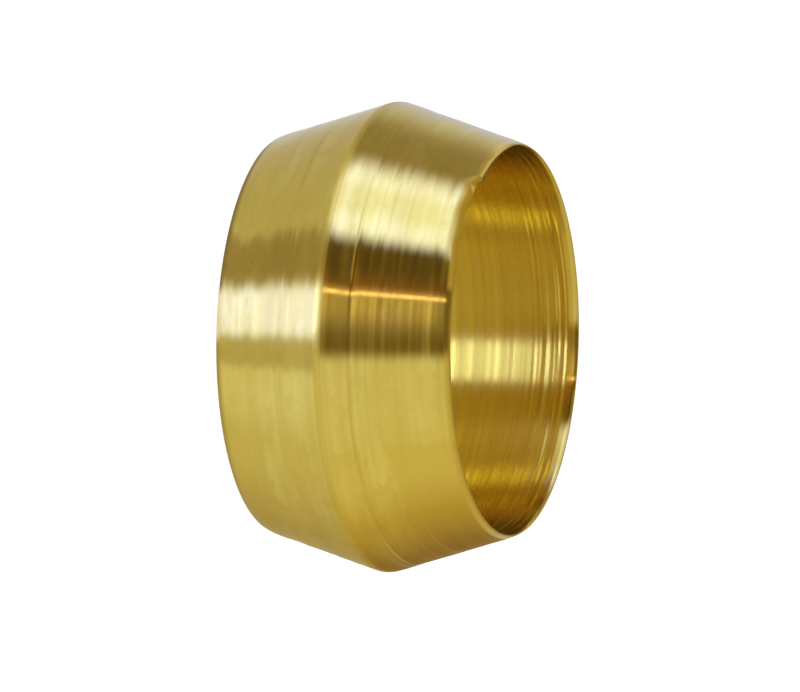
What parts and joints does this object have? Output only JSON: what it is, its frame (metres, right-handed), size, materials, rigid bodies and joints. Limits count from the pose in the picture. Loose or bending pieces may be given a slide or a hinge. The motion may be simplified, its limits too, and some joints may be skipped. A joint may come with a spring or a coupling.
{
  "type": "compression olive",
  "caption": "Double-cone brass ring that slides over a 15 mm copper tube and is squeezed between a compression fitting's body and nut to seal the joint.",
  "frame": {"origin": "centre of the back end face, on the bore's axis", "axes": "+Z along the bore's axis, from the back end up through the crest to the front end, which has the slightly longer cone"},
  "size_m": [0.0186, 0.0186, 0.0097],
  "materials": {
    "turned_brass": "bright, as turned, with fine rings round the axis"
  },
  "bodies": {
    "root": {"olive": "turned_brass"}
  },
  "joints": []
}
